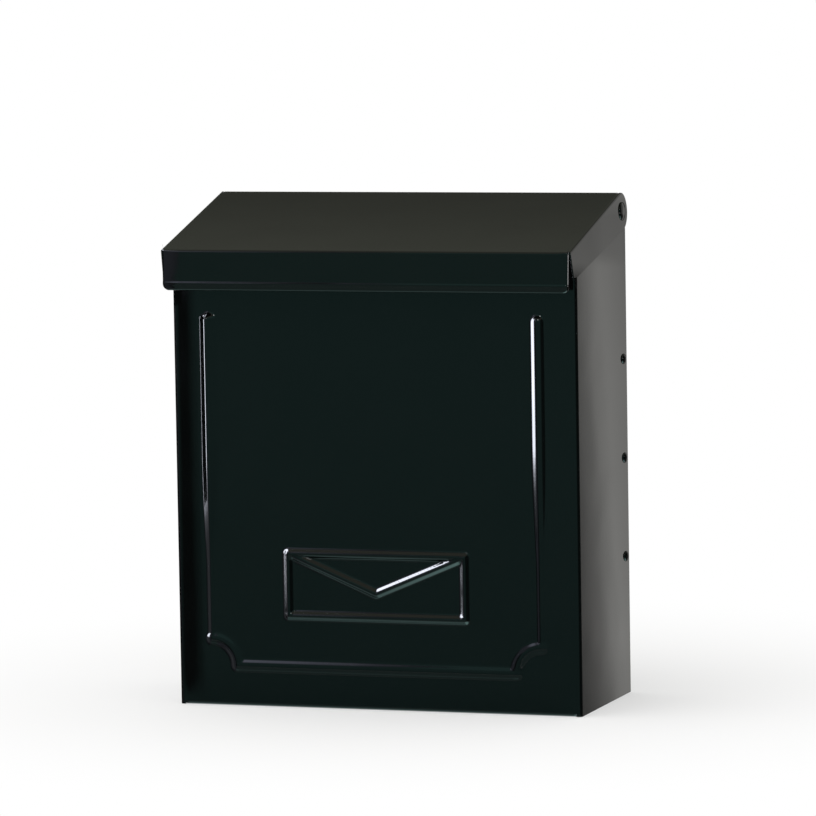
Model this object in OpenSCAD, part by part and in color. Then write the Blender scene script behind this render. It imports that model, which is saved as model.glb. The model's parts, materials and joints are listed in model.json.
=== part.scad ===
// A small vertical wall mailbox of folded sheet steel with a hinged sloping lid.
// Lengths are in millimetres. The front faces -Y, the wall is the plane y = 0, and
// inside the modules z = 0 is the bottom edge. on_wall() then moves every piece so
// that the origin is the middle of the four wall holes.

/* [Housing] */
// Width of the housing, outside
body_w = 190; // [170:1:230]
// Depth of the housing, from the wall to the front face
body_d = 78; // [66:1:110]
// Height of the hinge line above the bottom edge, which sets how tall the box is
hinge_z = 220.1; // [210:0.1:260]
// Outside radius of the folds in the housing
body_bend = 1.6; // [1.2:0.1:3]
// Width of the strip folded inwards under the front
bottom_return = 9; // [6:0.5:14]
// Height of the safe edge folded over at the top of the front
hem_h = 6; // [4:0.5:12]
// Length of fold left out beside each corner of the sheet
corner_relief = 1; // [0.6:0.1:2]

/* [Sheet] */
// Thickness of the sheet steel
sheet_t = 0.7; // [0.5:0.1:1]
// Space between two sheets that are riveted or lie on each other
seam_gap = 0.1; // [0.05:0.05:0.3]

/* [Back and floor] */
// How far the back reaches above the hinge line
back_over = 5.7; // [0:0.1:7]
// Depth of the flanges that close the back onto the sides
back_flange = 11; // [9:0.5:16]
// How far below the hinge line those flanges end
back_flange_drop = 13.1; // [12:0.1:40]
// Height of the floor's side flanges
floor_flange = 10; // [6:0.5:16]
// Space in front of the floor sheet
floor_front_gap = 1.5; // [1:0.1:4]

/* [Wall holes] */
// Diameter of the wall holes
wall_hole_d = 5.2; // [4:0.1:7]
// Distance between the wall holes, side to side
wall_hole_w = 120; // [80:1:140]
// Distance between the wall holes, top to bottom
wall_hole_h = 140; // [100:1:150]
// Height of the middle of the wall holes
wall_hole_mid = 115; // [105:1:120]

/* [Hinge] */
// Radius of the round ears at the hinge, which is the lid's height over the hinge line
ear_r = 8.4; // [7.5:0.1:9.5]
// Space between the lid's rear curl and the back
hinge_gap = 0.4; // [0.3:0.1:1.5]
// Diameter of the hinge rivet's shank
pin_d = 4; // [3:0.1:5]
// Running space around the shank, on the radius
pin_play = 0.05; // [0.02:0.01:0.1]
// Diameter of the hinge rivet's domed head
pin_head_d = 8.4; // [6:0.1:10]
// Height of the low dome on the hinge rivet
pin_dome = 1; // [0.7:0.1:3]
// Diameter of the set end inside the housing
pin_tail_d = 6; // [5.5:0.1:8]

/* [Lid] */
// Slope of the lid's top
lid_slope = 15; // [8:0.5:20]
// Reach of the lid's skirt in front of the housing
lid_overhang = 12.5; // [8:0.5:20]
// Outside radius of the folds in the lid
lid_bend = 1.2; // [1:0.1:2]
// Running space between the lid's side flanges and the housing
side_gap = 0.3; // [0.2:0.1:1]
// Space between the shut lid and the rim it covers
rim_gap = 0.4; // [0.3:0.1:1]
// Taper of the side flanges, which grow narrower towards the front
flange_taper = 4; // [2:0.5:7]
// Length left open between the lid's rear edge and the end of its side folds
ear_relief = 2.4; // [1.5:0.1:4]
// Sweep of the curl at the lid's rear edge
curl_sweep = 150; // [90:5:160]
// Space beside the curl, to the inside of the housing
curl_side_gap = 1.2; // [0.8:0.1:4]
// Height of the skirt
skirt_h = 18.2; // [14:0.1:24]
// How much narrower the skirt is than the lid, on each side
skirt_inset = 0.8; // [0.5:0.1:2]
// Height of the lip at the skirt's lower edge
lip_h = 3.6; // [2:0.1:6]
// How far the lip leans inwards
lip_in = 1; // [0.5:0.1:2]
// Radius of the skirt's lower corners
skirt_corner = 3; // [1:0.5:6]

/* [Side rivets] */
// Distance from the wall to the side rivets
side_rivet_y = 5.5; // [4.5:0.1:7]
// Height of the lowest side rivet
side_rivet_z = 63; // [40:1:70]
// Distance between side rivets
side_rivet_pitch = 45; // [30:1:50]
// Diameter of the side rivet's shank
side_rivet_d = 2.4; // [2:0.1:3.2]
// Diameter of the side rivet's domed head
side_head_d = 4.8; // [4:0.1:6.4]
// Height of the dome on the side rivet
side_dome = 1; // [0.6:0.1:1.6]
// Diameter of the set end on the side rivet
side_tail_d = 4.2; // [3.6:0.1:6]

/* [Pressed frame] */
// Width of the frame's upright beads
frame_bead_w = 6.4; // [4:0.1:9]
// How far the upright beads stand out
frame_bead_h = 1.8; // [1:0.1:2.4]
// Width of the frame's lower bead and of its scooped corners
low_bead_w = 5.4; // [4:0.1:7]
// How far the lower bead and the scooped corners stand out
low_bead_h = 0.9; // [0.8:0.1:1.6]
// Distance from the side of the housing to the middle of the upright bead
frame_inset = 17.3; // [14:0.1:30]
// Distance from the bottom edge to the middle of the lower bead
frame_low = 18.5; // [16:0.5:30]
// How far below the hinge line the upright beads end
frame_drop = 44.6; // [40:0.1:100]
// Radius of the scooped corners
scoop_r = 12; // [8:0.5:16]

/* [Pressed envelope] */
// Width of the envelope
envelope_w = 88; // [50:1:110]
// Height of the envelope
envelope_h = 33; // [24:1:44]
// Height of the envelope's middle
envelope_mid = 56; // [52:1:120]
// Width of the envelope's bead
envelope_bead_w = 4.8; // [4:0.1:6]
// Height of the envelope's bead
envelope_bead_h = 1.5; // [1:0.1:1.8]
// How far down the envelope the point of its flap lies, as a share
flap_share = 0.62; // [0.4:0.01:0.8]

/* [Hidden] */
$fn = 64;

enamel = "#1c2020";
// How far a cutting shape runs past what it cuts
over = 1;
// How far a straight edge cuts into the round it runs off, so that the two cross
merge = 0.01;
// How much fuller the rounded end of a bead is than the bead
knot = 0.12;
// Height of the straight rim under a rivet's dome
head_rim = 0.35;
// Height of the set end of a rivet
tail_h = 1;
// Space round a rivet's shank in the hole that holds it, on the radius
shank_play = 0.05;
// How far the top edge of the front lies below the rim of the sides
hem_drop = 0.3;
// Space between the floor's side flanges and those of the back
flange_gap = 1;
// Length of the lid left flat between its side folds and its front fold
fold_gap = 0.4;

// Where the hinge line lies, and the radius of the housing's ears inside the lid's
hinge_y = -(sheet_t + hinge_gap + ear_r);
rim_r = ear_r - sheet_t - rim_gap;
shoulder_z = hinge_z - ear_r;

// Widths of the lid, and its reach from the wall
lid_w = body_w + 2 * (side_gap + sheet_t);
lid_reach = body_d + lid_overhang;
skirt_w = lid_w - 2 * skirt_inset;

// Widths inside the housing, and the height of the floor's underside
inside_w = body_w - 2 * sheet_t;
curl_w = inside_w - 2 * curl_side_gap;
relief_w = body_w - 2 * (body_bend + corner_relief);
pan_w = inside_w - 2 * seam_gap;
floor_z = sheet_t + seam_gap;

// Heights of the back's top edge, its flanges and the pressed frame
back_top = hinge_z + back_over;
back_flange_top = hinge_z - back_flange_drop;
frame_high = hinge_z - frame_drop;

// Height of the rim, on which the shut lid lies, at a distance from the wall
function rim_z(y) = hinge_z + (rim_r - merge) / cos(lid_slope) + (y - hinge_y) * tan(lid_slope);

// Where a line from a point touches a circle round the origin, on its left-hand side
function touch(point, r) =
    let (reach = norm(point))
    let (turn = atan2(point.y, point.x) + acos(r / reach))
    [r * cos(turn), r * sin(turn)];

// Length of the lid's flat top, from the hinge line to the middle of the front fold
top_len = (lid_reach - lid_bend + hinge_y - (ear_r - lid_bend) * sin(lid_slope))
    / cos(lid_slope);
side_len = top_len - fold_gap;

// Depth of the skirt's lower edge below the middle of the front fold
skirt_drop = skirt_h - lid_bend * (1 - sin(lid_slope)) / cos(lid_slope);

// Height of the front's top edge
front_top = rim_z(-body_d) - hem_drop;

// Puts the origin at the middle of the wall holes
module on_wall() {
    translate([0, 0, -wall_hole_mid]) children();
}

// Extrudes an outline drawn in Y and Z across the part, centred on x = 0
module across(width) {
    translate([-width / 2, 0, 0]) rotate([90, 0, 90]) linear_extrude(width) children();
}

// Extrudes an outline drawn in X and Z from one depth to another
module between(y_front, y_back) {
    translate([0, y_back, 0]) rotate([90, 0, 0]) linear_extrude(y_back - y_front) children();
}

// Repeats a piece on both sides of the part
module both_sides() {
    children();
    mirror([1, 0, 0]) children();
}

// A strip of sheet bent round the origin from one angle to another, cut out by a fan
module bent_strip(r, from, to) {
    intersection() {
        difference() {
            circle(r);
            circle(r - sheet_t);
        }
        polygon(concat([[0, 0]], [for (i = [0:4]) let (a = from + (to - from) * i / 4)
            2 * r * [cos(a), sin(a)]]));
    }
}

// A sheet folded up along both sides: its base lies on y = 0 and its arms point to +Y
module channel(width, depth, bend) {
    translate([-width / 2 + bend, 0]) square([width - 2 * bend, sheet_t]);
    for (side = [0, 1]) mirror([side, 0]) {
        translate([width / 2 - bend, bend]) bent_strip(bend, -90, 0);
        if (depth > bend) translate([width / 2 - sheet_t, bend]) square([sheet_t, depth - bend]);
    }
}

// The side of the housing as seen from the right, with its round ear at the hinge
module side_outline() {
    shoulder = touch([-hinge_y, shoulder_z - hinge_z], rim_r - merge);
    translate([hinge_y, hinge_z]) {
        circle(rim_r);
        polygon([
            [0, 0],
            (rim_r - merge) * [-sin(lid_slope), cos(lid_slope)],
            [-body_d - over - hinge_y, rim_z(-body_d - over) - hinge_z],
            [-body_d - over - hinge_y, -hinge_z - over],
            [-hinge_y + over, -hinge_z - over],
            [-hinge_y + over, shoulder_z - hinge_z],
            [-hinge_y, shoulder_z - hinge_z],
            shoulder
        ]);
    }
}

// Radius of a round bead that stands proud of the sheet by a height over a width
function bead_r(width, height) = (width * width / 4 + height * height) / (2 * height);

// A straight bead between two points of the front
module bead(a, b, r, sink) {
    d = b - a;
    translate([a.x, a.y, -sink]) rotate([0, 0, atan2(d.y, d.x)]) rotate([0, 90, 0])
        cylinder(r = r, h = norm(d));
}

// The fuller end or corner of a bead
module bead_end(a, r, sink) {
    translate([a.x, a.y, -sink]) sphere(r + knot);
}

// The frame of beads, thinner by skin where its hollow inside is wanted
module frame_beads(skin) {
    full = bead_r(frame_bead_w, frame_bead_h);
    low_full = bead_r(low_bead_w, low_bead_h);
    r = full - skin;
    sink = full - frame_bead_h;
    low_r = low_full - skin;
    low_sink = low_full - low_bead_h;
    side = body_w / 2 - frame_inset;
    bead([-side + scoop_r, frame_low], [side - scoop_r, frame_low], low_r, low_sink);
    both_sides() {
        bead([side, frame_low + scoop_r], [side, frame_high], r, sink);
        bead_end([side, frame_high], r, sink);
        bead_end([side, frame_low + scoop_r], r, sink);
        bead_end([side - scoop_r, frame_low], low_r, low_sink);
        translate([side, frame_low, -low_sink]) rotate([0, 0, 90]) rotate_extrude(angle = 90)
            translate([scoop_r, 0]) circle(low_r);
    }
}

// The closed envelope, thinner by skin where its hollow inside is wanted
module envelope_beads(skin) {
    full = bead_r(envelope_bead_w, envelope_bead_h);
    r = full - skin;
    sink = full - envelope_bead_h;
    side = (envelope_w - envelope_bead_w) / 2;
    low = envelope_mid - (envelope_h - envelope_bead_w) / 2;
    high = envelope_mid + (envelope_h - envelope_bead_w) / 2;
    point = [0, high - flap_share * (high - low)];
    bead([-side, low], [side, low], r, sink);
    bead([-side, high], [side, high], r, sink);
    bead_end(point, r, sink);
    both_sides() {
        bead([side, low], [side, high], r, sink);
        bead([side, high], point, r, sink);
        bead_end([side, low], r, sink);
        bead_end([side, high], r, sink);
    }
}

// Stands a relief on the front face
module on_front() {
    translate([0, -body_d, 0]) rotate([90, 0, 0]) children();
}

// The outside of the pressed relief, which starts inside the sheet
module relief_outside() {
    on_front() intersection() {
        union() {
            frame_beads(0);
            envelope_beads(0);
        }
        translate([-body_w / 2, 0, -sheet_t / 2]) cube([body_w, hinge_z, body_bend + frame_bead_h]);
    }
}

// The hollow behind the pressed relief
module relief_inside() {
    on_front() {
        frame_beads(sheet_t);
        envelope_beads(sheet_t);
    }
}

// The strip folded inwards along the bottom of the front
module front_return() {
    across(relief_w) translate([-body_d, 0]) {
        translate([body_bend, body_bend]) bent_strip(body_bend, 180, 270);
        translate([body_bend, 0]) square([bottom_return - body_bend, sheet_t]);
    }
}

// The safe edge folded over at the top of the front
module front_hem() {
    across(relief_w) translate([-body_d, front_top - sheet_t]) {
        translate([0, sheet_t - hem_h]) square([2 * sheet_t, hem_h - sheet_t]);
        translate([sheet_t, 0]) intersection() {
            circle(sheet_t);
            translate([-sheet_t, 0]) square([2 * sheet_t, sheet_t]);
        }
    }
}

// Holes for the side rivets, through the sides and the back's flanges
module side_rivet_holes() {
    for (i = [0:2]) translate([-body_w / 2 - over, -side_rivet_y, side_rivet_z + i * side_rivet_pitch])
        rotate([0, 90, 0]) cylinder(d = side_rivet_d + 2 * shank_play, h = body_w + 2 * over);
}

// The hinge bores, straight across the part
module hinge_bores(d) {
    translate([-lid_w / 2 - over, hinge_y, hinge_z]) rotate([0, 90, 0])
        cylinder(d = d, h = lid_w + 2 * over);
}

// The front and both sides, one folded sheet
module body_shell() color(enamel) on_wall() {
    difference() {
        union() {
            difference() {
                intersection() {
                    linear_extrude(hinge_z + ear_r) translate([0, -body_d])
                        channel(body_w, body_d, body_bend);
                    across(body_w + 2 * over) side_outline();
                }
                translate([-relief_w / 2, -body_d - over, -over])
                    cube([relief_w, over + body_bend, over + body_bend]);
                translate([-relief_w / 2, -body_d - over, front_top - sheet_t])
                    cube([relief_w, over + body_bend, ear_r]);
            }
            front_return();
            front_hem();
            relief_outside();
        }
        relief_inside();
        hinge_bores(pin_d + 2 * shank_play);
        side_rivet_holes();
    }
}

// The back and the floor, one folded sheet inside the housing
module back_and_floor() color(enamel) on_wall() {
    flat_w = pan_w - 2 * body_bend;
    difference() {
        union() {
            translate([0, 0, floor_z + body_bend])
                linear_extrude(back_flange_top - floor_z - body_bend)
                    mirror([0, 1]) channel(pan_w, back_flange, body_bend);
            translate([-flat_w / 2, -sheet_t, back_flange_top])
                cube([flat_w, sheet_t, back_top - back_flange_top]);
            translate([0, 0, floor_z])
                between(-body_d + sheet_t + floor_front_gap, -back_flange - flange_gap)
                    channel(pan_w, floor_flange, body_bend);
            translate([-flat_w / 2, -back_flange - flange_gap, floor_z])
                cube([flat_w, back_flange + flange_gap - body_bend, sheet_t]);
            across(flat_w) translate([-body_bend, floor_z + body_bend])
                bent_strip(body_bend, -90, 0);
        }
        side_rivet_holes();
        for (x = [-1, 1], z = [-1, 1])
            translate([x * wall_hole_w / 2, over, wall_hole_mid + z * wall_hole_h / 2])
                rotate([90, 0, 0]) cylinder(d = wall_hole_d, h = sheet_t + 2 * over);
    }
}

// The lid's own frame: the hinge line is its origin and its flat top is level
module in_lid() {
    translate([0, hinge_y, hinge_z]) rotate([lid_slope, 0, 0]) children();
}

// The side flange of the lid, seen from the right in the lid's own frame
module flange_outline() {
    fold_z = ear_r - lid_bend;
    difference() {
        union() {
            circle(ear_r);
            intersection() {
                rotate(-flange_taper) translate([-lid_reach, merge - ear_r])
                    square([lid_reach, 2 * ear_r]);
                translate([-side_len, -ear_r]) square([2 * side_len, ear_r + fold_z]);
            }
        }
        translate([-ear_r - ear_relief, fold_z]) square([ear_r, ear_r]);
    }
}

// The section of the front fold and the skirt, from the middle of the fold
module skirt_outline() {
    intersection() {
        difference() {
            circle(lid_bend);
            circle(lid_bend - sheet_t);
        }
        translate([-2 * lid_bend, 0]) square(2 * lid_bend);
        rotate(-lid_slope) translate([-2 * lid_bend, 0]) square([4 * lid_bend, 2 * lid_bend]);
    }
    translate([0, lid_bend - sheet_t]) square([fold_gap, sheet_t]);
    rotate(-lid_slope) translate([-lid_bend, 0]) polygon([
        [0, 0],
        [0, lip_h - skirt_drop],
        [lip_in, -skirt_drop],
        [lip_in + sheet_t, -skirt_drop],
        [sheet_t, lip_h - skirt_drop],
        [sheet_t, 0]
    ]);
}

// The front fold and the skirt, with its lower corners rounded
module skirt() {
    intersection() {
        across(skirt_w) skirt_outline();
        rotate([-lid_slope, 0, 0]) between(-lid_overhang, lid_overhang) {
            translate([-skirt_w / 2, skirt_corner - skirt_drop]) square([skirt_w, 2 * skirt_h]);
            translate([-skirt_w / 2 + skirt_corner, -skirt_drop - over])
                square([skirt_w - 2 * skirt_corner, skirt_corner + over]);
            for (side = [-1, 1])
                translate([side * (skirt_w / 2 - skirt_corner), skirt_corner - skirt_drop])
                    circle(skirt_corner);
        }
    }
}

// The lid, one folded sheet
module lid() color(enamel) on_wall() {
    difference() {
        in_lid() {
            translate([0, -top_len, ear_r - lid_bend]) skirt();
            translate([0, -side_len, ear_r]) rotate([-90, 0, 0])
                linear_extrude(side_len - ear_relief) channel(lid_w, lid_bend, lid_bend);
            translate([-curl_w / 2, -ear_relief, ear_r - sheet_t])
                cube([curl_w, ear_relief, sheet_t]);
            across(curl_w) bent_strip(ear_r, 90 - curl_sweep, 90);
            both_sides() translate([(lid_w - sheet_t) / 2, 0, 0])
                across(sheet_t) flange_outline();
        }
        hinge_bores(pin_d + 2 * pin_play);
    }
}

// Half the section of a domed rivet that points along +Y, with its head's seat at 0
module rivet_section(shank_d, head_d, dome, grip, tail_d) {
    dome_r = bead_r(head_d, dome);
    square([head_d / 2, head_rim]);
    translate([0, head_rim]) intersection() {
        translate([0, dome - dome_r]) circle(dome_r);
        square([head_d, dome + over]);
    }
    translate([0, -grip]) square([shank_d / 2, grip]);
    translate([0, -grip - tail_h]) square([tail_d / 2, tail_h]);
}

// The hinge rivet on the right, set in the side of the housing
module hinge_rivet() {
    seat = lid_w / 2 + side_gap;
    translate([seat, hinge_y, hinge_z]) rotate([0, 90, 0]) rotate_extrude()
        rivet_section(pin_d, pin_head_d, pin_dome, seat - inside_w / 2, pin_tail_d);
}

module hinge_rivet_left() color(enamel) on_wall() mirror([1, 0, 0]) hinge_rivet();
module hinge_rivet_right() color(enamel) on_wall() hinge_rivet();

// A side rivet on the right, counted from the lowest
module side_rivet(i) {
    grip = body_w / 2 - pan_w / 2 + sheet_t;
    translate([body_w / 2, -side_rivet_y, side_rivet_z + i * side_rivet_pitch])
        rotate([0, 90, 0]) rotate_extrude()
            rivet_section(side_rivet_d, side_head_d, side_dome, grip, side_tail_d);
}

module side_rivet_left_lower() color(enamel) on_wall() mirror([1, 0, 0]) side_rivet(0);
module side_rivet_left_middle() color(enamel) on_wall() mirror([1, 0, 0]) side_rivet(1);
module side_rivet_left_upper() color(enamel) on_wall() mirror([1, 0, 0]) side_rivet(2);
module side_rivet_right_lower() color(enamel) on_wall() side_rivet(0);
module side_rivet_right_middle() color(enamel) on_wall() side_rivet(1);
module side_rivet_right_upper() color(enamel) on_wall() side_rivet(2);

body_shell();
back_and_floor();
lid();
hinge_rivet_left();
hinge_rivet_right();
side_rivet_left_lower();
side_rivet_left_middle();
side_rivet_left_upper();
side_rivet_right_lower();
side_rivet_right_middle();
side_rivet_right_upper();
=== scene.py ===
# %% [markdown]
# # A small upright wall mailbox
# The real one is folded from thin sheet steel and enamelled gloss black. Its shape
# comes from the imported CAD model, which is loaded first and stays as it is. Where light
# shows every soft bend, such as in the pressed beads and the rolled edges, a finer skin
# of the same size replaces the CAD piece.

# %% Load the frame
import json
import math

import bmesh
import bpy
from mathutils import Matrix, Vector


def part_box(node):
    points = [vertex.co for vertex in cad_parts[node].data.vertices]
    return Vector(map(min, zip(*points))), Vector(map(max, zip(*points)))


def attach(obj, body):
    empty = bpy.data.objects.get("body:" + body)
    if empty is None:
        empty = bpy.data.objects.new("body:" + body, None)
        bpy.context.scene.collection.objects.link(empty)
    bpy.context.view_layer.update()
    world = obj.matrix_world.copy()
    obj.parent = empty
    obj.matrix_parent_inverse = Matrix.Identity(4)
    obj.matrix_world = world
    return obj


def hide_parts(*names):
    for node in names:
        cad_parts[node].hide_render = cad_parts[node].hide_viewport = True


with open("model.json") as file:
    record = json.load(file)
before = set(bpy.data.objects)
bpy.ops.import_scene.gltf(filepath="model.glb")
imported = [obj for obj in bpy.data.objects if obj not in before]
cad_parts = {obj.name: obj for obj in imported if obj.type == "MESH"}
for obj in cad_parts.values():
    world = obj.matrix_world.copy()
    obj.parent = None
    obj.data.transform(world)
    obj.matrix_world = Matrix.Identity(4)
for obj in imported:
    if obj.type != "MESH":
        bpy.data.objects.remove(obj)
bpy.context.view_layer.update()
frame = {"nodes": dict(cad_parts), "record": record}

# %% [markdown]
# ## Sizes
# All lengths below are millimetres, measured from the bottom edge of the box, the wall
# plane and the middle. They repeat the values of the CAD source. One function turns such
# a point into Blender's metres.

# %% The sizes of the box
MM = 0.001
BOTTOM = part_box("body_shell")[0].z / MM

SHEET = 0.7
WIDTH, DEPTH, FOLD_R = 190.0, 78.0, 1.6
HINGE_Z, EAR_R, SLOPE = 220.1, 8.4, math.radians(15)
HINGE_Y = -(SHEET + 0.4 + EAR_R)
RIM_R = EAR_R - SHEET - 0.4
SHOULDER_Z = HINGE_Z - EAR_R


def metres(point):
    """A point of the box in millimetres, as Blender's metres in the CAD frame."""
    x, y, z = point
    return Vector((x, y, z + BOTTOM)) * MM


def rim_height(y):
    """Height of the sloping rim of the sides at a depth."""
    return HINGE_Z + RIM_R / math.cos(SLOPE) + (y - HINGE_Y) * math.tan(SLOPE)


print(f"rim {rim_height(-DEPTH):.1f} mm high in front, hinge {HINGE_Y:.1f} mm off the wall")

# %% [markdown]
# ## How the sheet pieces are made
# Folded sheet is one outer surface with a thickness. So each piece is drawn as patches of
# its outer surface, which are welded where they meet. Solidify then gives it the sheet's
# thickness on the inside, Bevel breaks the sheared edges, and Weighted Normal keeps the
# flats truly flat in the gloss. Drawing both faces by hand would give the same shape with
# twice the code.


# %% Patches and sheet pieces
def arc(centre, r, start, end, count):
    """Points on an arc in a plane, from one angle to another, in degrees."""
    angles = [math.radians(start + (end - start) * i / count) for i in range(count + 1)]
    return [(centre[0] + r * math.cos(a), centre[1] + r * math.sin(a)) for a in angles]


def steps(*zones):
    """Positions through zones of (start, end, spacing), finer where the shape needs it."""
    found = [zones[0][0]]
    for start, end, spacing in zones:
        count = max(1, round((end - start) / spacing))
        found += [start + (end - start) * i / count for i in range(1, count + 1)]
    return found


def add_grid(bm, rows):
    """Quads between rows of points, which all have the same number of points."""
    made = [[bm.verts.new(metres(p)) for p in row] for row in rows]
    for low, high in zip(made, made[1:]):
        for i in range(len(low) - 1):
            bm.faces.new((low[i], low[i + 1], high[i + 1], high[i]))


def add_plate(bm, outline):
    """One flat face inside an outline."""
    bm.faces.new([bm.verts.new(metres(p)) for p in outline])


def add_modifier(piece, kind, **settings):
    """A modifier on a piece, with its settings."""
    modifier = piece.modifiers.new(kind.title(), kind)
    for name, value in settings.items():
        setattr(modifier, name, value)
    return modifier


def sheet_piece(name, bm, outward, edge_r=0.16):
    """A piece of sheet steel from the patches of its outer surface."""
    bmesh.ops.remove_doubles(bm, verts=bm.verts, dist=0.004 * MM)
    bmesh.ops.dissolve_degenerate(bm, edges=bm.edges, dist=0.004 * MM)
    bmesh.ops.recalc_face_normals(bm, faces=bm.faces)
    if sum(face.calc_area() * face.normal.dot(outward) for face in bm.faces) < 0:
        bmesh.ops.reverse_faces(bm, faces=bm.faces)
    mesh = bpy.data.meshes.new(name)
    bm.to_mesh(mesh)
    bm.free()
    mesh.polygons.foreach_set("use_smooth", [True] * len(mesh.polygons))
    piece = bpy.data.objects.new(name, mesh)
    bpy.context.scene.collection.objects.link(piece)
    add_modifier(piece, "SOLIDIFY", thickness=SHEET * MM, offset=-1)
    add_modifier(piece, "BEVEL", width=edge_r * MM, segments=2, limit_method="ANGLE",
                 angle_limit=math.radians(50), use_clamp_overlap=False)
    add_modifier(piece, "WEIGHTED_NORMAL", keep_sharp=True, weight=90)
    print(f"{name}: {len(mesh.polygons)} faces on its outer surface")
    return piece


# %% [markdown]
# ## The pressed relief
# On the real front a die presses a frame of round beads with scooped corners. A bead has
# a round crest, straight flanks and a hollow foot, and gloss enamel shows crest and foot
# as lines of light. The die bites deeper at the top than at the bottom, so the lines fade
# downwards, and it sits a little left of the middle. The left bead is tight on its outer
# side, the right one is wide and soft. The height at any point follows from its distance
# to the middle lines. Lines that meet are eased into each other, as steel can't be pressed
# into a sharp valley. Inside the frame lies a plain pressed outline of an envelope.


# %% Distances to the middle lines of the beads
def to_segment(a, b):
    """Distance from a point to a straight line between two points."""
    dx, dz = b[0] - a[0], b[1] - a[1]
    length2 = dx * dx + dz * dz

    def distance(x, z):
        t = min(1, max(0, ((x - a[0]) * dx + (z - a[1]) * dz) / length2))
        return math.hypot(x - a[0] - t * dx, z - a[1] - t * dz)
    return distance


def to_scoop(centre, r, side):
    """Distance to a quarter of a circle that opens up and to the middle."""
    ends = [(centre[0], centre[1] + r), (centre[0] - side * r, centre[1])]

    def distance(x, z):
        if (centre[0] - x) * side >= 0 and z >= centre[1]:
            return abs(math.hypot(x - centre[0], z - centre[1]) - r)
        return min(math.hypot(x - e[0], z - e[1]) for e in ends)
    return distance


# %% Height of a bead, and the beads of this front
def bead(d, height, crest_r, foot_r, steepest):
    """Height of a bead at a distance from its middle: round crest, flank, hollow foot."""
    both_r = crest_r + foot_r
    turn = min(math.radians(steepest), math.acos(max(0.0, 1 - height / both_r)))
    flank = (height - both_r * (1 - math.cos(turn))) / math.tan(turn)
    crest_end = crest_r * math.sin(turn)
    reach = crest_end + flank + foot_r * math.sin(turn)
    if d >= reach:
        return 0.0
    if d > crest_end + flank:
        return foot_r - math.sqrt(foot_r ** 2 - (reach - d) ** 2)
    if d > crest_end:
        return height - crest_r * (1 - math.cos(turn)) - (d - crest_end) * math.tan(turn)
    return height - crest_r + math.sqrt(crest_r ** 2 - d * d)


def eased(t):
    """From 0 to 1 with a soft start and end."""
    t = min(1.0, max(0.0, t))
    return t * t * (3 - 2 * t)


LEFT_X, RIGHT_X, LOW_Z, HIGH_Z, SCOOP_R = -78.85, 77.05, 18.5, HINGE_Z - 44.6, 12.0
left_line = to_segment((LEFT_X, LOW_Z + SCOOP_R), (LEFT_X, HIGH_Z))
right_line = to_segment((RIGHT_X, LOW_Z + SCOOP_R), (RIGHT_X, HIGH_Z))
low_lines = [to_segment((LEFT_X + SCOOP_R, LOW_Z), (RIGHT_X - SCOOP_R, LOW_Z)),
             to_scoop((LEFT_X, LOW_Z), SCOOP_R, -1), to_scoop((RIGHT_X, LOW_Z), SCOOP_R, 1)]

ENVELOPE_Z, ENVELOPE_HALF_H = 56, 14.1
ENVELOPE_X = (88 - 4.8) / 2
ENVELOPE_LOW, ENVELOPE_HIGH = ENVELOPE_Z - ENVELOPE_HALF_H, ENVELOPE_Z + ENVELOPE_HALF_H
flap_point = (0.0, ENVELOPE_HIGH - 0.62 * (ENVELOPE_HIGH - ENVELOPE_LOW))
envelope_lines = [
    to_segment((-ENVELOPE_X, ENVELOPE_LOW), (ENVELOPE_X, ENVELOPE_LOW)),
    to_segment((-ENVELOPE_X, ENVELOPE_HIGH), (ENVELOPE_X, ENVELOPE_HIGH)),
]
for side in (-1, 1):
    upper, lower = (side * ENVELOPE_X, ENVELOPE_HIGH), (side * ENVELOPE_X, ENVELOPE_LOW)
    envelope_lines += [to_segment(lower, upper), to_segment(upper, flap_point)]
print(len(low_lines) + 2, "beads make the frame and", len(envelope_lines), "the envelope")


# %% The height of the whole front over its folds
FLAT_X = WIDTH / 2 - FOLD_R
HEM_X = FLAT_X - 1
HEM_R, HEM_LEN = 0.75, 6
RETURN_LEN = 9
FRONT_TOP = rim_height(-DEPTH) - 0.3
PANEL_RISE, PANEL_FADE = 0.5, 16
# The die bites deeper from this height upwards, over this length
BITE_FROM, BITE_LEN = 62, 60
# Beads are height, crest radius, foot radius and steepest angle
ENVELOPE_BEAD, LOW_BEAD = (1.5, 1.6, 1.0, 50), (0.75, 5.2, 2.0, 45)


def joined(heights, ease=0.25):
    """The highest of several beads, eased where two of them meet."""
    second, first = sorted(heights)[-2:]
    alike = max(0.0, 1 - (first - second) / ease) * min(1.0, second / ease)
    return first + alike * alike * ease / 4


def panel(x, z):
    """The panel inside the frame stands half a millimetre proud of the folds."""
    from_side = min((x + HEM_X) / (HEM_X + LEFT_X), (HEM_X - x) / (HEM_X - RIGHT_X), 1)
    from_low = min((z - FOLD_R) / (LOW_Z - FOLD_R), 1)
    hidden = eased((FRONT_TOP - HEM_R - z) / PANEL_FADE)
    return PANEL_RISE * (1 - (1 - from_side) ** 2) * (1 - (1 - from_low) ** 2) * hidden


def uneven_bead(d, across, height, left_shape, right_shape):
    """A bead with another shape on its left than on its right."""
    right_share = eased(across / 2 + 0.5)
    return ((1 - right_share) * bead(d, height, *left_shape)
            + right_share * bead(d, height, *right_shape))


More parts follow.
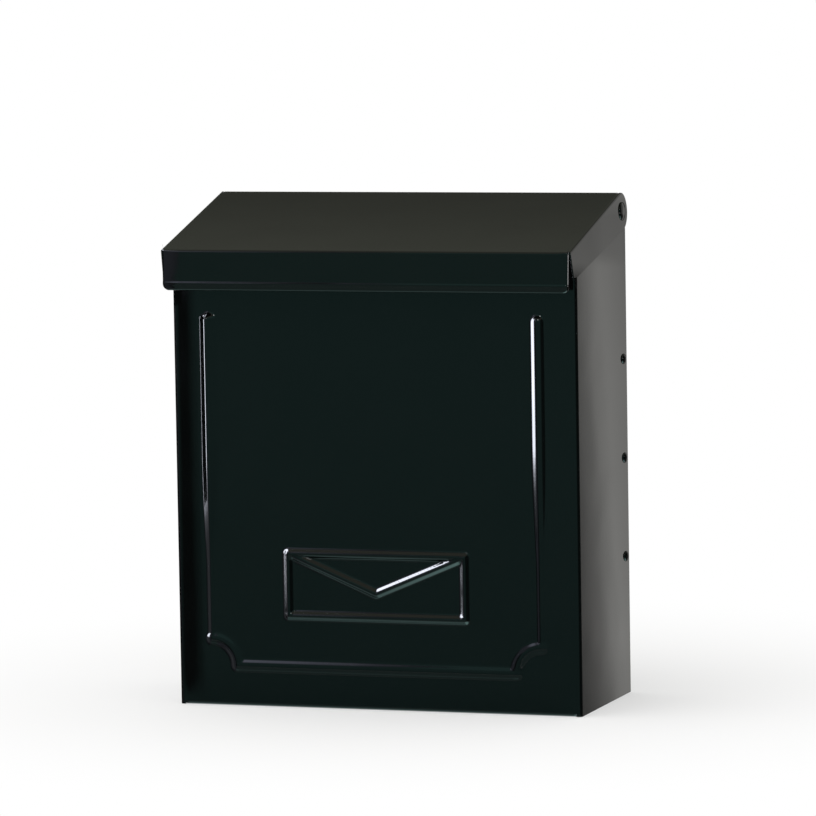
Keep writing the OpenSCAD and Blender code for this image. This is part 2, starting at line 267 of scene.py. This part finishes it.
def relief(x, z):
    """How far the front stands out at a point."""
    bite = eased((z - BITE_FROM) / BITE_LEN)
    heights = [0.0, 0.0]
    if abs(x) < ENVELOPE_X + 4 and ENVELOPE_LOW - 4 < z < ENVELOPE_HIGH + 4:
        heights += [bead(line(x, z), *ENVELOPE_BEAD) for line in envelope_lines]
    elif x < LEFT_X + SCOOP_R + 5 or x > RIGHT_X - SCOOP_R - 5 or z < LOW_Z + 5:
        heights += [bead(line(x, z), *LOW_BEAD) for line in low_lines]
        left = 0.5 + 1.65 * bite, (1.0, 0.08, 16 + 22 * bite), (2.5, 3.0, 26)
        right = 0.45 + 0.87 * bite, (3.8, 3.0, 45), (3.8, 1.0, 45)
        beyond = z + 0.7 * max(0.0, z - HIGH_Z)
        heights.append(uneven_bead(left_line(x, beyond), x - LEFT_X, *left))
        heights.append(uneven_bead(right_line(x, z), x - RIGHT_X, *right))
    return panel(x, z) + joined(heights)


print(f"upright bead {relief(LEFT_X, 160):.2f} mm high, lower bead {relief(0, LOW_Z):.2f} mm")

# %% [markdown]
# ## Front and sides
# One sheet makes the front and both sides. The front is a grid that is fine only where
# the relief is. At the top it is hemmed, folded flat on itself so that no hand meets a raw
# edge, and at the bottom it turns inwards. The vertical folds run on into the sides, whose
# rim slopes up to the round ears at the hinge.

# %% Build the front and sides
columns = steps((-HEM_X, -83.5, 1.5), (-83.5, -81.1, 0.12), (-81.1, -77.1, 0.25),
                (-77.1, -63, 0.6), (-63, -46, 4.3), (-46, 46, 0.72), (46, 61, 5),
                (61, 72, 0.6), (72, 82, 0.4), (82, HEM_X, 1.5))
levels = steps((FOLD_R, 13.5, 2), (13.5, 34, 0.55), (34, 37, 1.5), (37, 75, 0.66), (75, 170, 5),
               (170, 180, 0.5), (180, 190, 3.3), (190, FRONT_TOP - HEM_R, 2))

shell = bmesh.new()
bottom_bend = arc((-DEPTH + FOLD_R, FOLD_R), FOLD_R, 180, 270, 8)
return_rows = [(-DEPTH + RETURN_LEN, 0.0)] + bottom_bend[::-1]
hem_rows = arc((-DEPTH + HEM_R, FRONT_TOP - HEM_R), HEM_R, 180, 0, 10)
hem_rows += [(-DEPTH + 2 * HEM_R, FRONT_TOP - HEM_LEN)]
add_grid(shell, [[(x, y, z) for x in columns] for y, z in return_rows])
add_grid(shell, [[(x, -DEPTH - relief(x, z), z) for x in columns] for z in levels])
add_grid(shell, [[(x, y, z) for x in columns] for y, z in hem_rows])

fold_levels = [0.0] + levels
to_shoulder = math.atan2(SHOULDER_Z - HINGE_Z, -HINGE_Y)
to_shoulder += math.acos(RIM_R / math.hypot(SHOULDER_Z - HINGE_Z, HINGE_Y))
ear = arc((HINGE_Y, HINGE_Z), RIM_R, 90 + math.degrees(SLOPE), math.degrees(to_shoulder), 28)
for side in (-1, 1):
    plan = [(HEM_X, -DEPTH)] + arc((FLAT_X, FOLD_R - DEPTH), FOLD_R, -90, 0, 8)
    rows = [[(side * x, y, z) for x, y in plan] for z in fold_levels]
    rows.append([(side * x, y, rim_height(y)) for x, y in plan])
    add_grid(shell, rows)
    wall_x, fold_y = side * WIDTH / 2, FOLD_R - DEPTH
    outline = [(wall_x, fold_y, z) for z in fold_levels + [rim_height(fold_y)]]
    outline += [(wall_x, y, z) for y, z in ear] + [(wall_x, 0, SHOULDER_Z), (wall_x, 0, 0)]
    add_plate(shell, outline)

front_and_sides = sheet_piece("front_and_sides", shell, Vector((0, -1, 0)))
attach(front_and_sides, "housing")
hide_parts("body_shell")

# %% [markdown]
# ## The lid
# The lid is one sheet too. Its skirt hangs straight down in front, with a lip that leans
# inwards and softly rolled ends, so fingers find it and it sheds rain. Its side flanges
# end in round ears, and its rear edge is curled round the hinge line. It is drawn level,
# in its own frame with the hinge line as origin, and then tilted to its slope. The side
# folds run on to the ears, whose round edge cuts them off. The flanges flare by two
# degrees, as sheet springs back after bending, which shows as a darker band on the side,
# and the right end of the skirt leans in a little. A narrow notch beside each ear leaves
# room for the side of the box when the lid opens.

# %% Build the lid
LID_X = WIDTH / 2 + 0.3 + SHEET
LID_BEND, OVERHANG = 1.2, 12.5
FOLD_Z = EAR_R - LID_BEND
FOLD_GAP, RIDGE_H, RIDGE_UP = 0.4, 0.2, 0.9
REACH = DEPTH + OVERHANG - RIDGE_H
TOP_LEN = (REACH - LID_BEND + HINGE_Y - FOLD_Z * math.sin(SLOPE)) / math.cos(SLOPE)
SIDE_LEN = TOP_LEN - FOLD_GAP
SKIRT_X = LID_X - 0.8
SKIRT_DROP = 18.2 - LID_BEND * (1 - math.sin(SLOPE)) / math.cos(SLOPE)
LIP_H, LIP_IN, ROLL_R, CORNER_R = 2.4, 0.7, 0.9, 2.8
CURL_X, NOTCH_X = WIDTH / 2 - SHEET - 0.2, WIDTH / 2 + 0.2
TAPER, FLARE = math.radians(2.5), math.tan(math.radians(2.2))
RIGHT_LEAN = 0.4
END_TURN, END_LEN = 0.45, 8


def tilted(x, along, up):
    """A point of the lid's own level frame, tilted to the lid's slope."""
    c, s = math.cos(SLOPE), math.sin(SLOPE)
    return (x, HINGE_Y + along * c - up * s, HINGE_Z + along * s + up * c)


def lip_lean(below):
    """How far the skirt has leant inwards at a distance below the crease."""
    ease = 0.5
    if below <= -ease:
        return 0.0
    slope = LIP_IN / LIP_H
    return slope * below if below >= ease else slope * (below + ease) ** 2 / (4 * ease)


def end_turn(x):
    """How far the skirt turns back over its last 8 mm, where the shears pulled it."""
    return END_TURN * (max(0.0, abs(x) - (SKIRT_X - END_LEN)) / END_LEN) ** 2


def ridge(drop):
    """The brake leaves a faint ridge just above the lip."""
    away = abs(drop - (SKIRT_DROP - LIP_H - RIDGE_UP))
    return RIDGE_H * (1 - eased(away))


def skirt_point(x, x_roll, drop, drop_roll):
    """A point of the skirt, at x and a drop below the front fold's middle."""
    over_corner = max(0.0, abs(x) - (SKIRT_X - CORNER_R))
    corner = CORNER_R - math.sqrt(max(0.0, CORNER_R ** 2 - over_corner ** 2))
    share = max(0.0, (drop - (SKIRT_DROP - LIP_H - 1)) / (LIP_H + 1))
    z = drop - corner * share
    inwards = lip_lean(z - (SKIRT_DROP - LIP_H)) + ROLL_R * (x_roll + drop_roll)
    inwards += end_turn(x) - ridge(z)
    middle_y, middle_z = tilted(0, -TOP_LEN, FOLD_Z)[1:]
    x -= RIGHT_LEAN * drop / SKIRT_DROP * max(0.0, x) / SKIRT_X
    return (x, middle_y - LID_BEND + inwards, middle_z - z)


roll = [(math.sin(math.radians(a)), 1 - math.cos(math.radians(a))) for a in range(0, 91, 15)]
half_skirt = [(x, 0.0) for x in steps((0, 84, 6), (84, SKIRT_X - CORNER_R, 1),
                                      (SKIRT_X - CORNER_R, SKIRT_X - ROLL_R, 0.3))[:-1]]
half_skirt += [(SKIRT_X - ROLL_R + ROLL_R * s, c) for s, c in roll]
skirt_columns = [(-x, r) for x, r in reversed(half_skirt[1:])] + half_skirt
drops = [(d, 0.0) for d in steps((0, SKIRT_DROP - LIP_H - 2.4, 2.5),
                                 (SKIRT_DROP - LIP_H - 2.4, SKIRT_DROP - LIP_H + 1, 0.2),
                                 (SKIRT_DROP - LIP_H + 1, SKIRT_DROP - ROLL_R, 0.4))[:-1]]
drops += [(SKIRT_DROP - ROLL_R + ROLL_R * s, c) for s, c in roll]

lid_bm = bmesh.new()
add_grid(lid_bm, [[skirt_point(x, r, d, dr) for x, r in skirt_columns] for d, dr in drops])
fold_rows = arc((-TOP_LEN, FOLD_Z), LID_BEND, 90, 180 - math.degrees(SLOPE), 8)
rolled = []
for i, (along, up) in enumerate(fold_rows):
    share = i / (len(fold_rows) - 1)
    row = []
    for x, r in skirt_columns:
        point = tilted(x, along, up)
        row.append((point[0], point[1] + share * (ROLL_R * r + end_turn(x)), point[2]))
    rolled.append(row)
add_grid(lid_bm, rolled)

top_half = [(LID_X - LID_BEND, 0.0), (CURL_X, 0.0)]
front_half = [(SKIRT_X, -SIDE_LEN), (LID_X - LID_BEND, -SIDE_LEN)]
outline = [(x, -TOP_LEN) for x, _ in skirt_columns] + front_half + top_half
outline += [(-x, y) for x, y in reversed(front_half + top_half)]
add_plate(lid_bm, [tilted(x, y, EAR_R) for x, y in outline])

side_bend = arc((LID_X - LID_BEND, FOLD_Z), LID_BEND, 90, 0, 8)
low_angle = -90 - math.degrees(TAPER)
ear_top = math.degrees(math.asin(FOLD_Z / EAR_R))
flange = [(-SIDE_LEN, FOLD_Z)] + arc((0, 0), EAR_R, ear_top, low_angle, 56)
low_front = -EAR_R / math.cos(TAPER) + SIDE_LEN * math.tan(TAPER)
flange.append((-SIDE_LEN, low_front))
rear = [(x, math.sqrt(EAR_R ** 2 - up ** 2), up) for x, up in side_bend]
for side in (-1, 1):
    add_grid(lid_bm, [[tilted(side * x, -SIDE_LEN, up) for x, up in side_bend],
                      [tilted(side * x, y, up) for x, y, up in rear]])
    add_plate(lid_bm, [tilted(side * (LID_X + FLARE * (FOLD_Z - up)), y, up) for y, up in flange])
    add_grid(lid_bm, [[tilted(side * at, y, up) for at in (x, NOTCH_X)]
                      for x, y, up in rear if x > NOTCH_X])
add_grid(lid_bm, [[tilted(x, y, up) for x in (-CURL_X, CURL_X)] for _, y, up in rear])
add_grid(lid_bm, [[tilted(x, y, up) for x in (-CURL_X, CURL_X)]
                  for y, up in arc((0, 0), EAR_R, ear_top, -60, 32)])

lid_skin = sheet_piece("lid_skin", lid_bm, Vector((0, 0, 1)), 0.08)
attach(lid_skin, "lid")
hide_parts("lid")

# %% [markdown]
# ## Rivets
# The side rivets are plain domes, and the hinge rivets have a low head with a flat middle.
# Each is turned: its half section is spun round its axis, which gives a round edge without
# flats. The section runs from the middle of the head over the shank to the set end inside.


# %% Turn the rivets
def turned(name, section, place, side, segments=64):
    """A round piece from a half section of (radius, height), pointing to one side."""
    bm = bmesh.new()
    rows = []
    for radius, height in section[1:-1]:
        ring = []
        for i in range(segments):
            a = math.tau * i / segments
            y, z = place[1] + radius * math.cos(a), place[2] + radius * math.sin(a)
            ring.append(bm.verts.new(metres((side * (place[0] + height), y, z))))
        rows.append(ring)
    for near, far in zip(rows, rows[1:]):
        for i in range(segments):
            j = (i + 1) % segments
            bm.faces.new((near[i], near[j], far[j], far[i]))
    for row, (_, height) in ((rows[0], section[0]), (rows[-1], section[-1])):
        middle = bm.verts.new(metres((side * (place[0] + height), place[1], place[2])))
        for i in range(segments):
            bm.faces.new((row[i], row[(i + 1) % segments], middle))
    bmesh.ops.recalc_face_normals(bm, faces=bm.faces)
    mesh = bpy.data.meshes.new(name)
    bm.to_mesh(mesh)
    bm.free()
    mesh.polygons.foreach_set("use_smooth", [True] * len(mesh.polygons))
    mesh.set_sharp_from_angle(angle=math.radians(40))
    piece = bpy.data.objects.new(name, mesh)
    bpy.context.scene.collection.objects.link(piece)
    return piece


def shank(r, grip, tail_r):
    """The part of a rivet's half section behind its head."""
    return [(r, 0), (r, -grip), (tail_r, -grip), (tail_r, -grip - 0.6),
            (tail_r - 0.4, -grip - 1), (0, -grip - 1)]


DOME_R, DOME_H = 2.4, 1.15
SIDE_RIVET_Y, LOWEST_RIVET_Z, RIVET_PITCH = -5.5, 63, 45
dome = [(DOME_R * math.sin(math.radians(a)), DOME_H * math.cos(math.radians(a)))
        for a in range(0, 91, 10)]
side_section = dome + shank(1.2, 1.5, 2.1)
flat_head = [(0, 1.0), (1.8, 1.0), (2.0, 1.0), (2.2, 0.97), (2.6, 0.88), (3.0, 0.78),
             (3.4, 0.67), (3.8, 0.54), (4.05, 0.4), (4.2, 0.2), (4.2, 0)]
hinge_section = flat_head + shank(2.0, 2.0, 3.0)

rivets = []
for side, side_name in ((-1, "left"), (1, "right")):
    place = (LID_X + 0.3, HINGE_Y, HINGE_Z)
    rivets.append((f"hinge_rivet_{side_name}", hinge_section, place, side))
    for i, level in enumerate(("lower", "middle", "upper")):
        place = (WIDTH / 2, SIDE_RIVET_Y, LOWEST_RIVET_Z + RIVET_PITCH * i)
        rivets.append((f"side_rivet_{side_name}_{level}", side_section, place, side))
turned_rivets = []
for node, section, place, side in rivets:
    piece = turned(node + "_turned", section, place, side)
    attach(piece, "housing")
    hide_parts(node)
    turned_rivets.append(piece)
print(len(turned_rivets), "rivets turned")

# %% [markdown]
# ## Gloss black enamel
# The real finish is a stoved enamel: a smooth, hard, glossy paint, sprayed on and baked.
# Paint that levels itself leaves a faint orange peel, and thin sheet is never quite flat,
# so reflections wander a little. Its body colour is nearly black, so almost all that the
# eye sees is what the gloss reflects.


# %% Helpers for materials
def linear(hex_colour):
    """An sRGB hex colour as linear red, green, blue and alpha."""
    values = [int(hex_colour[i:i + 2], 16) / 255 for i in (1, 3, 5)]
    return [v / 12.92 if v <= 0.04045 else ((v + 0.055) / 1.055) ** 2.4 for v in values] + [1]


def add_node(tree, kind, links=(), **settings):
    """A node with its settings; links are (input, output socket) or (input, value)."""
    node = tree.nodes.new(kind)
    for name, value in settings.items():
        setattr(node, name, value)
    for socket, value in links:
        if isinstance(value, bpy.types.NodeSocket):
            tree.links.new(value, node.inputs[socket])
        else:
            node.inputs[socket].default_value = value
    return node


def empty_material(name):
    """A new material and its node tree, without nodes."""
    material = bpy.data.materials.new(name)
    material.use_nodes = True
    material.node_tree.nodes.clear()
    return material, material.node_tree


def enamel(name, dark, light, roughness=(0.05, 0.08), wave=0.12):
    """Stoved gloss enamel: dark body colour, faint orange peel, slightly uneven gloss."""
    material, tree = empty_material(name)
    place = add_node(tree, "ShaderNodeTexCoord").outputs["Object"]
    cloud = add_node(tree, "ShaderNodeTexNoise", [("Vector", place), ("Scale", 1 / (25 * MM)),
                                                  ("Detail", 3.0), ("Roughness", 0.55)])
    tint = add_node(tree, "ShaderNodeMix", [("Factor", cloud.outputs["Fac"]), (6, linear(dark)),
                                            (7, linear(light))], data_type="RGBA")
    gloss = add_node(tree, "ShaderNodeMapRange", [("Value", cloud.outputs["Fac"]),
                                                  ("From Min", 0.3), ("From Max", 0.7),
                                                  ("To Min", roughness[0]),
                                                  ("To Max", roughness[1])])
    ripple = add_node(tree, "ShaderNodeTexNoise", [("Vector", place), ("Scale", 1 / (40 * MM)),
                                                   ("Detail", 1.0)])
    sway = add_node(tree, "ShaderNodeBump", [("Height", ripple.outputs["Fac"]),
                                             ("Strength", 1.0), ("Distance", wave * MM)])
    peel = add_node(tree, "ShaderNodeTexNoise", [("Vector", place), ("Scale", 1 / (1.6 * MM)),
                                                 ("Detail", 2.0)])
    skin = add_node(tree, "ShaderNodeBump", [("Height", peel.outputs["Fac"]), ("Strength", 1.0),
                                             ("Distance", 0.006 * MM),
                                             ("Normal", sway.outputs["Normal"])])
    paint = add_node(tree, "ShaderNodeBsdfPrincipled", [
        ("Base Color", tint.outputs[2]), ("Roughness", gloss.outputs["Result"]),
        ("IOR", 1.5), ("Normal", skin.outputs["Normal"])])
    add_node(tree, "ShaderNodeOutputMaterial", [("Surface", paint.outputs["BSDF"])])
    return material


housing_enamel = enamel("gloss_black_stoved_enamel_housing", "#060808", "#090b0b")
lid_enamel = enamel("gloss_black_stoved_enamel_lid", "#060807", "#0a0b0a")
rivet_enamel = enamel("gloss_black_enamel_rivets", "#060707", "#090a0a", (0.06, 0.09), 0.0)

# %% Give every piece its enamel
slots = {row["node"]: row["material_slot"] for row in frame["record"]["subparts"]}
finishes = {"housing_enamel": housing_enamel, "lid_enamel": lid_enamel,
            "rivet_enamel": rivet_enamel}
for name, node in frame["nodes"].items():
    node.data.materials.clear()
    node.data.materials.append(finishes[slots[name]])
front_and_sides.data.materials.append(housing_enamel)
lid_skin.data.materials.append(lid_enamel)
for piece in turned_rivets:
    piece.data.materials.append(rivet_enamel)
print("enamel on", len(frame["nodes"]) + 2 + len(turned_rivets), "pieces")

# %% [markdown]
# ## Camera
# It stands to the right of the front and a little above, far away with a long lens, as a
# product photographer does so that upright edges stay nearly parallel.

# %% Place the camera
YAW, PITCH, ROLL = (math.radians(a) for a in (18.517, -5.584, -0.937))
CAMERA_PLACE = (799.28, -2416.41, 377.6)
level_part = math.cos(PITCH)
forward = Vector((-math.sin(YAW) * level_part, math.cos(YAW) * level_part, math.sin(PITCH)))
right = forward.cross(Vector((0, 0, 1))).normalized()
up = right.cross(forward)
turned_right = math.cos(ROLL) * right + math.sin(ROLL) * up
turned_up = math.cos(ROLL) * up - math.sin(ROLL) * right

camera_data = bpy.data.cameras.new("camera")
camera_data.sensor_width, camera_data.lens = 36, 245.55
camera = bpy.data.objects.new("camera", camera_data)
bpy.context.scene.collection.objects.link(camera)
axes = Matrix((turned_right, turned_up, -forward)).transposed().to_4x4()
camera.matrix_world = Matrix.Translation(metres(CAMERA_PLACE)) @ axes
camera_data.clip_end = 100
bpy.context.scene.camera = camera
print("camera at", [round(v, 3) for v in camera.location])

# %% [markdown]
# ## Studio
# Gloss black shows the room more than itself, so a photographer builds its reflections
# from cards: white or grey where the gloss should light up and black flags where it
# should stay deep. The cards here are seen by reflections only. The floor is pale and
# fades into white away from the box. The gloss doesn't mirror the floor: the cards reach
# below it, as if the box hung in the air.


# %% Floor and surround
def plane(name, rows, material):
    """A stage piece from rows of points (x, y, z, brightness)."""
    wide = len(rows[0])
    points = [p for row in rows for p in row]
    corners = [j * wide + i for j in range(len(rows) - 1) for i in range(wide - 1)]
    mesh = bpy.data.meshes.new(name)
    mesh.from_pydata([metres(p[:3]) for p in points], [],
                     [(c, c + 1, c + wide + 1, c + wide) for c in corners])
    brightness = mesh.attributes.new("brightness", "FLOAT", "POINT")
    brightness.data.foreach_set("value", [p[3] for p in points])
    piece = bpy.data.objects.new(name, mesh)
    bpy.context.scene.collection.objects.link(piece)
    mesh.materials.append(material)
    return piece


def seen_directly(tree):
    """1 for what the camera, the gloss or glass sees, 0 for what only gets lit."""
    path = add_node(tree, "ShaderNodeLightPath").outputs
    gloss = add_node(tree, "ShaderNodeMath", [(0, path["Is Camera Ray"]),
                                              (1, path["Is Glossy Ray"])], operation="MAXIMUM")
    glass = add_node(tree, "ShaderNodeMath", [(0, gloss.outputs[0]),
                                              (1, path["Is Transmission Ray"])],
                     operation="MAXIMUM")
    return glass.outputs[0]


floor_paint, tree = empty_material("pale_floor")
place = add_node(tree, "ShaderNodeTexCoord").outputs["Object"]
away = add_node(tree, "ShaderNodeVectorMath", [(0, place)], operation="LENGTH")
fade = add_node(tree, "ShaderNodeMapRange", [("Value", away.outputs["Value"]),
                                             ("From Min", 0.08), ("From Max", 0.34),
                                             ("To Min", 0.35)],
                interpolation_type="SMOOTHSTEP")
white_share = add_node(tree, "ShaderNodeMath", [(0, fade.outputs["Result"]),
                                                (1, seen_directly(tree))],
                       operation="MULTIPLY")
paint = add_node(tree, "ShaderNodeBsdfDiffuse", [("Color", linear("#f8f8f6"))])
white = add_node(tree, "ShaderNodeEmission", [("Color", (1, 1, 1, 1)), ("Strength", 1.0)])
both = add_node(tree, "ShaderNodeMixShader", [(0, white_share.outputs[0]), (1, paint.outputs[0]),
                                              (2, white.outputs[0])])
add_node(tree, "ShaderNodeOutputMaterial", [("Surface", both.outputs[0])])
FLOOR_EDGES = (-20000, 20000)
floor = plane("floor", [[(x, y, -0.2, 0) for x in FLOOR_EDGES] for y in FLOOR_EDGES], floor_paint)
floor.visible_glossy = False

world = bpy.data.worlds.new("surround")
bpy.context.scene.world = world
world.use_nodes = True
tree = world.node_tree
tree.nodes.clear()
soft = add_node(tree, "ShaderNodeBackground", [("Color", (1, 1, 1, 1)), ("Strength", 0.75)])
white = add_node(tree, "ShaderNodeBackground", [("Color", (1, 1, 1, 1)), ("Strength", 1.0)])
both = add_node(tree, "ShaderNodeMixShader", [(0, seen_directly(tree)), (1, soft.outputs[0]),
                                              (2, white.outputs[0])])
add_node(tree, "ShaderNodeOutputWorld", [("Surface", both.outputs[0])])

lamp_data = bpy.data.lights.new("soft_lamp", "AREA")
lamp_data.size, lamp_data.energy = 1.8, 17
lamp = bpy.data.objects.new("soft_lamp", lamp_data)
bpy.context.scene.collection.objects.link(lamp)
lamp.location = (-0.9, -0.7, 2.2)
lamp.rotation_euler = (-lamp.location).to_track_quat("-Z", "Y").to_euler()
lamp.visible_glossy = False
print("surround 0.75 and one lamp of", lamp_data.energy, "W")


# %% Cards for the gloss
def card(name, hex_colour, rows):
    """A card that only reflections see, from rows of points (x, y, z, brightness)."""
    material, tree = empty_material(name)
    level = add_node(tree, "ShaderNodeAttribute", attribute_name="brightness")
    light = add_node(tree, "ShaderNodeEmission", [("Color", linear(hex_colour)),
                                                  ("Strength", level.outputs["Fac"])])
    add_node(tree, "ShaderNodeOutputMaterial", [("Surface", light.outputs[0])])
    piece = plane(name, rows, material)
    piece.visible_camera = piece.visible_diffuse = piece.visible_shadow = False
    piece.visible_transmission = piece.visible_volume_scatter = False


def screen(name, hex_colour, heights, posts):
    """An upright card: heights are (z, share of the brightness), posts (x, y, brightness)."""
    card(name, hex_colour, [[(x, y, z, share * b) for x, y, b in posts] for z, share in heights])


# The cards stand round the box on these lines, in millimetres from its middle and the wall
SOFTBOX_X, FRONT_Y, REAR_Y, BELOW_Z = -400, -1200, 150, -420

# The dim room in front, which the flat front and the skirt show
leaning = [(z, share, 0.14 * min(z, 330)) for z, share in (
    (-400, 0.6), (-60, 0.9), (60, 1), (330, 1), (430, 1.5), (700, 1.7), (1000, 1.7))]
card("dim_front_card", "#b4fff8", [[
    (-800, FRONT_Y, z, 0), (-650 - lean, FRONT_Y, z, 0), (-565 - lean, FRONT_Y, z, 0.227 * share),
    (700, FRONT_Y, z, 0.227 * share), (900, FRONT_Y, z, 0.05)] for z, share, lean in leaning])
screen("left_front_flag", "#ffffff", [(-400, 1), (1000, 1)],
       [(-720, FRONT_Y, 0), (SOFTBOX_X, -640, 0)])
# The tall softbox on the left, which draws the lines of light on the beads. It has a dim
# edge in front and gets weaker downwards. Its rear strip is a card of its own
edge_rows = ((-400, -640, 0, 0.15), (0, -640, 0, 0.2), (137, -640, 0, 0.3),
             (142, -900, 0.21, 0.3), (330, -900, 0.21, 0.4),
             (430, -1200, 0, 1.9), (800, -1200, 0, 1.9))
card("left_softbox_edge", "#dfe6ff", [[
    (SOFTBOX_X, front, z, first), (SOFTBOX_X, (front - 515) / 2, z, level),
    (SOFTBOX_X, -385, z, 0.35)] for z, front, first, level in edge_rows])
screen("left_softbox", "#eef2ff", [(-400, 0.015), (20, 0.02), (34, 0.05), (48, 0.22), (64, 0.85),
                                   (80, 0.85), (98, 1), (800, 1)],
       [(SOFTBOX_X, -385, 0.35), (SOFTBOX_X, -320, 23), (SOFTBOX_X, -140, 23)])
screen("left_softbox_rear", "#eef2ff", [(-400, 0), (-3, 0.03), (14, 0.7), (30, 1), (800, 1)],
       [(SOFTBOX_X, -140, 20), (SOFTBOX_X, -94, 20), (SOFTBOX_X, -35, 0)])
screen("left_top_light", "#eef2ff", [(420, 0), (470, 0.6), (560, 1), (800, 1)],
       [(SOFTBOX_X, -385, 3.5), (-330, -500, 0.8), (-240, -680, 0)])
screen("left_rear_flag", "#ffffff", [(-400, 1), (700, 1)],
       [(SOFTBOX_X, -35, 0), (SOFTBOX_X, 100, 0.02), (-500, 500, 0.2), (-700, 900, 0.4)])
# Small flags keep the lights off the folds of the box and off the left end of the skirt
screen("fold_flag", "#ffffff", [(-20, 1), (196, 1)], [(-100, -84, 0), (-100, -71, 0)])
screen("right_fold_flag", "#ffffff", [(178, 1), (195.4, 1)],
       [(98.2, -80.7, 0), (98.2, -76.3, 0)])
screen("skirt_flag", "#ffffff", [(180, 1), (212, 1)], [(-101, -98, 0), (-101, -84, 0)])
# The soft grey behind on the right. Levels are (x, brightness) from left to right, rows
# are (z, share of it). The right side shows the lower rows, the lid's flange the upper ones
wall_levels = ((60, 0.02), (124, 0.03), (134, 0.52), (142, 0.61), (147, 0.67), (152, 0.57),
               (156.5, 0.39), (163.3, 0.24), (175, 0.07), (400, 0.02))
wall_rows = ((-150, 0.35), (-20, 1.08), (4, 1.2), (32, 1.12), (80, 1.08), (128, 1.08),
             (183, 1.03))
flange_levels = ((60, 0.02), (124, 0.05), (134, 0.55), (142, 0.54), (147, 0.54), (152, 0.55),
                 (156.5, 0.46), (163.3, 0.5), (175, 0.48), (400, 0.02))
flange_rows = ((190, 0.9), (199, 0.86), (211, 0.82), (222, 1.05), (330, 1.05))
card("right_rear_card", "#fffefa", [
    [(x + 0.055 * (z - 90), REAR_Y, z, level * share) for x, level in levels]
    for levels, rows in ((wall_levels, wall_rows), (flange_levels, flange_rows))
    for z, share in rows])
screen("right_flag", "#b4fff8", [(-400, 1), (900, 1)],
       [(400, REAR_Y, 0.02), (900, -500, 0.02), (900, FRONT_Y, 0.05)])
# A short strip on the right for the right end of the skirt. From straight right the front
# end of the flange shows it too
screen("skirt_end_strip", "#ffffff", [(178, 1), (200, 1)], [(180, -112, 9), (180, -70, 9)])
# The grey overhead, which the lid's top shows
overhead_rows = ((400, 250, 0.1), (400, 505, 0.13), (400, 560, 0.235), (400, 700, 0.28),
                 (300, 1000, 0.3), (0, 1200, 0.35), (-600, 1250, 0.4), (-1200, 1000, 0.3))
card("overhead_card", "#f3f7e2", [[(x, y, z, b) for x in (-1200, 1200)]
                                  for y, z, b in overhead_rows])
# The dim space below, brighter under the box, which lower edges show
far_below, under_box = [0.25] * 4, (0.8, 0.8, 2.6, 2.6)
card("card_below", "#ccfffa", [
    [(x, y, BELOW_Z, level) for x, level in zip((-900, -20, 70, 900), levels)]
    for y, levels in ((-1200, far_below), (-480, far_below), (-330, under_box),
                      (150, under_box))])
# The small lamp high in front, which lights the tops of the beads
card("high_front_lamp", "#ffffff", [[(x, -1150, z, 20) for x in (20, 180)] for z in (700, 820)])
print("cards up")

# %% [markdown]
# ## Settings
# The colours are shown as they are, without a film look.

# %% Finish
scene = bpy.context.scene
scene.view_settings.view_transform = "Standard"
